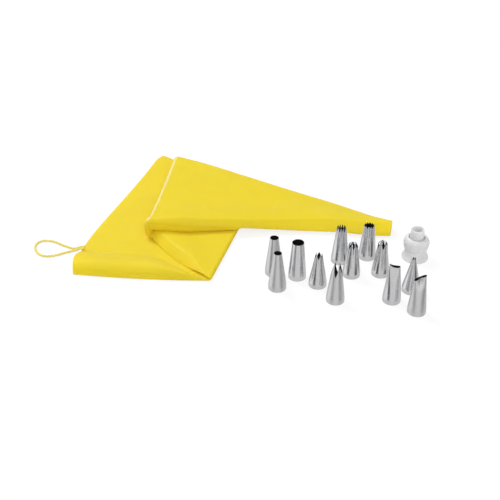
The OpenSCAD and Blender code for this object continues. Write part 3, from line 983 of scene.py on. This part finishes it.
def slot_nozzle(settings, node, satin, height, long, deep, bow, tilt, dip, dent):
    """A cone whose end is pressed flat into a slot. long and deep are half the slot's length and
    width, bow is how far it curves back, tilt how far its right end rises, dip how far its middle
    sinks, and dent how far its front is pressed in."""
    centre = standing_place(node)
    height, long, deep, bow, tilt, dip, dent = (n * MM for n in (height, long, deep, bow, tilt, dip, dent))
    foot = settings.foot / 2

    def place(u, v):
        turn = 2 * math.pi * u
        x, y = math.cos(turn), math.sin(turn)
        z = v * (height + tilt * x - dip * (1 - x * x))
        risen = clamp((z - settings.skirt) / (height - settings.skirt))
        flat = risen ** FLATTENING
        wide = mix(foot, long, risen)
        thick = mix(foot * (1 - 0.25 * risen), deep, flat)
        full = math.copysign(abs(y) ** mix(1, 0.6, flat), y)
        pressed = dent * (1 - clamp(abs(x) / 0.7)) * rises(risen, 0.6, 0.4) if y < 0 else 0
        return centre + Vector((wide * x, thick * full + bow * flat * (1 - x * x) + pressed, z))

    return pressed_shell(node, satin, SLOT_COLUMNS, SLOT_ROWS, place)


NOZZLES = {
    "round_nozzle_medium": (round_nozzle, dict(satin=0.6, height=42.4, outlet=8.7)),
    "round_nozzle_large": (round_nozzle, dict(satin=-0.15, height=41.4, outlet=12)),
    "round_nozzle_small": (round_nozzle, dict(satin=0.8, height=41.4, outlet=7.8)),
    "small_open_star_nozzle": (star_nozzle, dict(
        satin=0.35, height=37.2, outlet=6.6, teeth=5, notch=5, bend=0.3, flute=0.4, slit=0.85,
        sharp=0.9, turned=-97)),
    "long_tooth_star_nozzle": (star_nozzle, dict(
        satin=0.8, height=43.4, outlet=8.6, teeth=4, notch=13.5, bend=1.5, flute=0.2, slit=1,
        sharp=1, turned=-106)),
    "fine_tooth_star_nozzle": (star_nozzle, dict(
        satin=0.1, height=41.9, outlet=9.6, teeth=12, notch=5, bend=0.5, flute=0.35, slit=0.9,
        sharp=1)),
    "closed_star_nozzle": (star_nozzle, dict(
        satin=0.2, height=39, outlet=8.8, teeth=7, notch=6, bend=0.2, flute=0.6, slit=0.8,
        sharp=0.6, curl=3.3, turned=-90)),
    "french_star_nozzle": (star_nozzle, dict(
        satin=0.1, height=39.2, outlet=11, teeth=12, notch=2, bend=0.6, flute=0.45, slit=0.7,
        sharp=0.7)),
    "slit_star_nozzle": (star_nozzle, dict(
        satin=0.15, height=39.9, outlet=8.4, teeth=5, notch=8, bend=0.1, flute=0.66, slit=0.7,
        sharp=0.6, curl=3.5, turned=-90)),
    "ruffle_nozzle": (slot_nozzle, dict(
        satin=0.3, height=41.4, long=5.2, deep=1.9, bow=1, tilt=-1.3, dip=2.1, dent=0.6)),
    "writing_star_nozzle": (star_nozzle, dict(
        satin=0.2, height=38.6, outlet=3.6, teeth=5, notch=2, bend=0.3, flute=0.2, slit=0.6,
        sharp=0.6)),
    "petal_nozzle": (slot_nozzle, dict(
        satin=0.9, height=39.9, long=5.5, deep=2.3, bow=0, tilt=2.8, dip=0, dent=2)),
}


class PIPING_OT_nozzles(bpy.types.Operator):
    """Makes the twelve pressed steel nozzles"""

    bl_idname = "piping.nozzles"
    bl_label = "Nozzles"

    def execute(self, context):
        settings = context.scene.piping_nozzles
        steel = steel_material(settings)
        painted_shade_inside = painted_shade_inside_material(settings)
        for node, (shape, sizes) in NOZZLES.items():
            piece = shape(settings, node, **sizes)
            # The inner faces and the cut rims take the second material, the painted-shade inside.
            wall(piece, settings.wall, inner=1)
            settle(piece, steel, sharp=45, inner=painted_shade_inside)
            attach(piece, node)
            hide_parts(node)
        return {"FINISHED"}


# ---- the coupler ----------------------------------------------------------------------------
# Each outline is a closed loop of radius and height. They and the ribs are in millimetres.

BASE_OUTLINE = (
    (11.2, 0.0), (13.2, 0.0), (13.7, 0.5), (13.7, 2.1), (13.0, 3.3), (12.1, 5.2), (11.5, 8.0),
    (11.3, 11.8), (10.7, 12.6), (9.8, 12.65), (9.8, 22.9), (9.3, 23.4), (7.6, 23.45), (7.1, 24.1),
    (7.0, 31.5), (6.8, 33.7), (6.3, 34.9), (5.8, 34.9), (5.4, 34.2), (5.4, 23.4), (8.4, 19.4),
    (8.6, 12.0), (10.4, 7.0), (11.0, 2.0))
RING_OUTLINE = (
    (10.15, 12.95), (12.0, 12.95), (12.4, 13.5), (12.6, 16.0), (13.0, 18.6), (13.0, 20.4),
    (12.6, 22.2), (11.6, 24.1), (10.2, 25.2), (9.2, 25.4), (8.5, 24.9), (8.4, 23.85), (10.15, 23.8))
RING_RIBS, RIB_HEIGHT = 30, 0.35
RIBS_LOW, RIBS_HIGH = 13.2, 23.2  # the heights of their ends
RIBS_FROM = 11.5  # the ribs are on what lies outside this radius
TURNED_COLUMNS, TURNED_ROWS = 128, 4  # round the piece, and along each side of its outline
RIB_COLUMNS = 8  # for each rib
MOULD_EDGE = 0.25 * MM  # rounding of the moulded edges


def rib_rise(ribs, share, r, z):
    """How far the fine grip ribs stand out, at a share of the way round."""
    if not ribs or r <= RIBS_FROM:
        return 0.0
    between = rises(z, RIBS_LOW, 1.5) * ease((RIBS_HIGH - z) / 2.5)
    return RIB_HEIGHT * between * abs(math.cos(math.pi * ribs * share)) ** 3


def turned_piece(name, centre, outline, ribs=0):
    """A piece turned from a closed outline."""
    count = len(outline)

    def place(u, v):
        step = v * count
        k = int(step + 1e-6)
        (r0, z0), (r1, z1) = outline[k % count], outline[(k + 1) % count]
        r, z = mix(r0, r1, step - k), mix(z0, z1, step - k)
        return centre + MM * on_circle(r + rib_rise(ribs, u, r, z), 2 * math.pi * u, z)

    return loft(name, max(TURNED_COLUMNS, ribs * RIB_COLUMNS), count * TURNED_ROWS, place)


class PIPING_OT_coupler(bpy.types.Operator):
    """Makes the coupler's base and the screw ring round it"""

    bl_idname = "piping.coupler"
    bl_label = "Coupler"

    def execute(self, context):
        plastic = plastic_material(context.scene.piping_coupler)
        centre = standing_place("coupler_base")
        base = turned_piece("coupler_base_plastic", centre, BASE_OUTLINE)
        ring = turned_piece("coupler_ring_plastic", centre, RING_OUTLINE, RING_RIBS)
        for piece, body, node in ((base, "coupler", "coupler_base"), (ring, "ring", "coupler_ring")):
            bevelled(piece, width=MOULD_EDGE, angle=35)
            settle(piece, plastic, sharp=60)
            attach(piece, body)
            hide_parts(node)
        return {"FINISHED"}


# ---- the add-on -----------------------------------------------------------------------------


class PIPING_PT_panel(bpy.types.Panel):
    """Lists the pieces and the stage of the piping bag set"""

    bl_idname = "PIPING_PT_panel"
    bl_label = "Piping bag set"
    bl_space_type = "VIEW_3D"
    bl_region_type = "UI"
    bl_category = "Piping bag"

    def draw(self, context):
        for part in STEPS:
            self.layout.operator(part.bl_idname)
        for key in SETTINGS:
            box = self.layout.box()
            group = getattr(context.scene, key)
            for name in group.bl_rna.properties.keys():
                if name not in {"rna_type", "name"}:
                    box.prop(group, name)


SETTINGS = {
    "piping_bag": BagSettings,
    "piping_loop": LoopSettings,
    "piping_nozzles": NozzleSettings,
    "piping_coupler": CouplerSettings,
    "piping_stage": StageSettings,
}
STEPS = [PIPING_OT_stage, PIPING_OT_loop, PIPING_OT_bag, PIPING_OT_nozzles, PIPING_OT_coupler]
CLASSES = [*SETTINGS.values(), *STEPS, PIPING_PT_panel]


def register():
    for item in CLASSES:
        bpy.utils.register_class(item)
    for key, group in SETTINGS.items():
        setattr(bpy.types.Scene, key, PointerProperty(type=group))


def unregister():
    for key in SETTINGS:
        delattr(bpy.types.Scene, key)
    for item in reversed(CLASSES):
        bpy.utils.unregister_class(item)


def main():
    register()
    bpy.ops.piping.stage()
    bpy.ops.piping.loop()
    bpy.ops.piping.bag()
    bpy.ops.piping.nozzles()
    bpy.ops.piping.coupler()


if __name__ == "__main__":
    main()
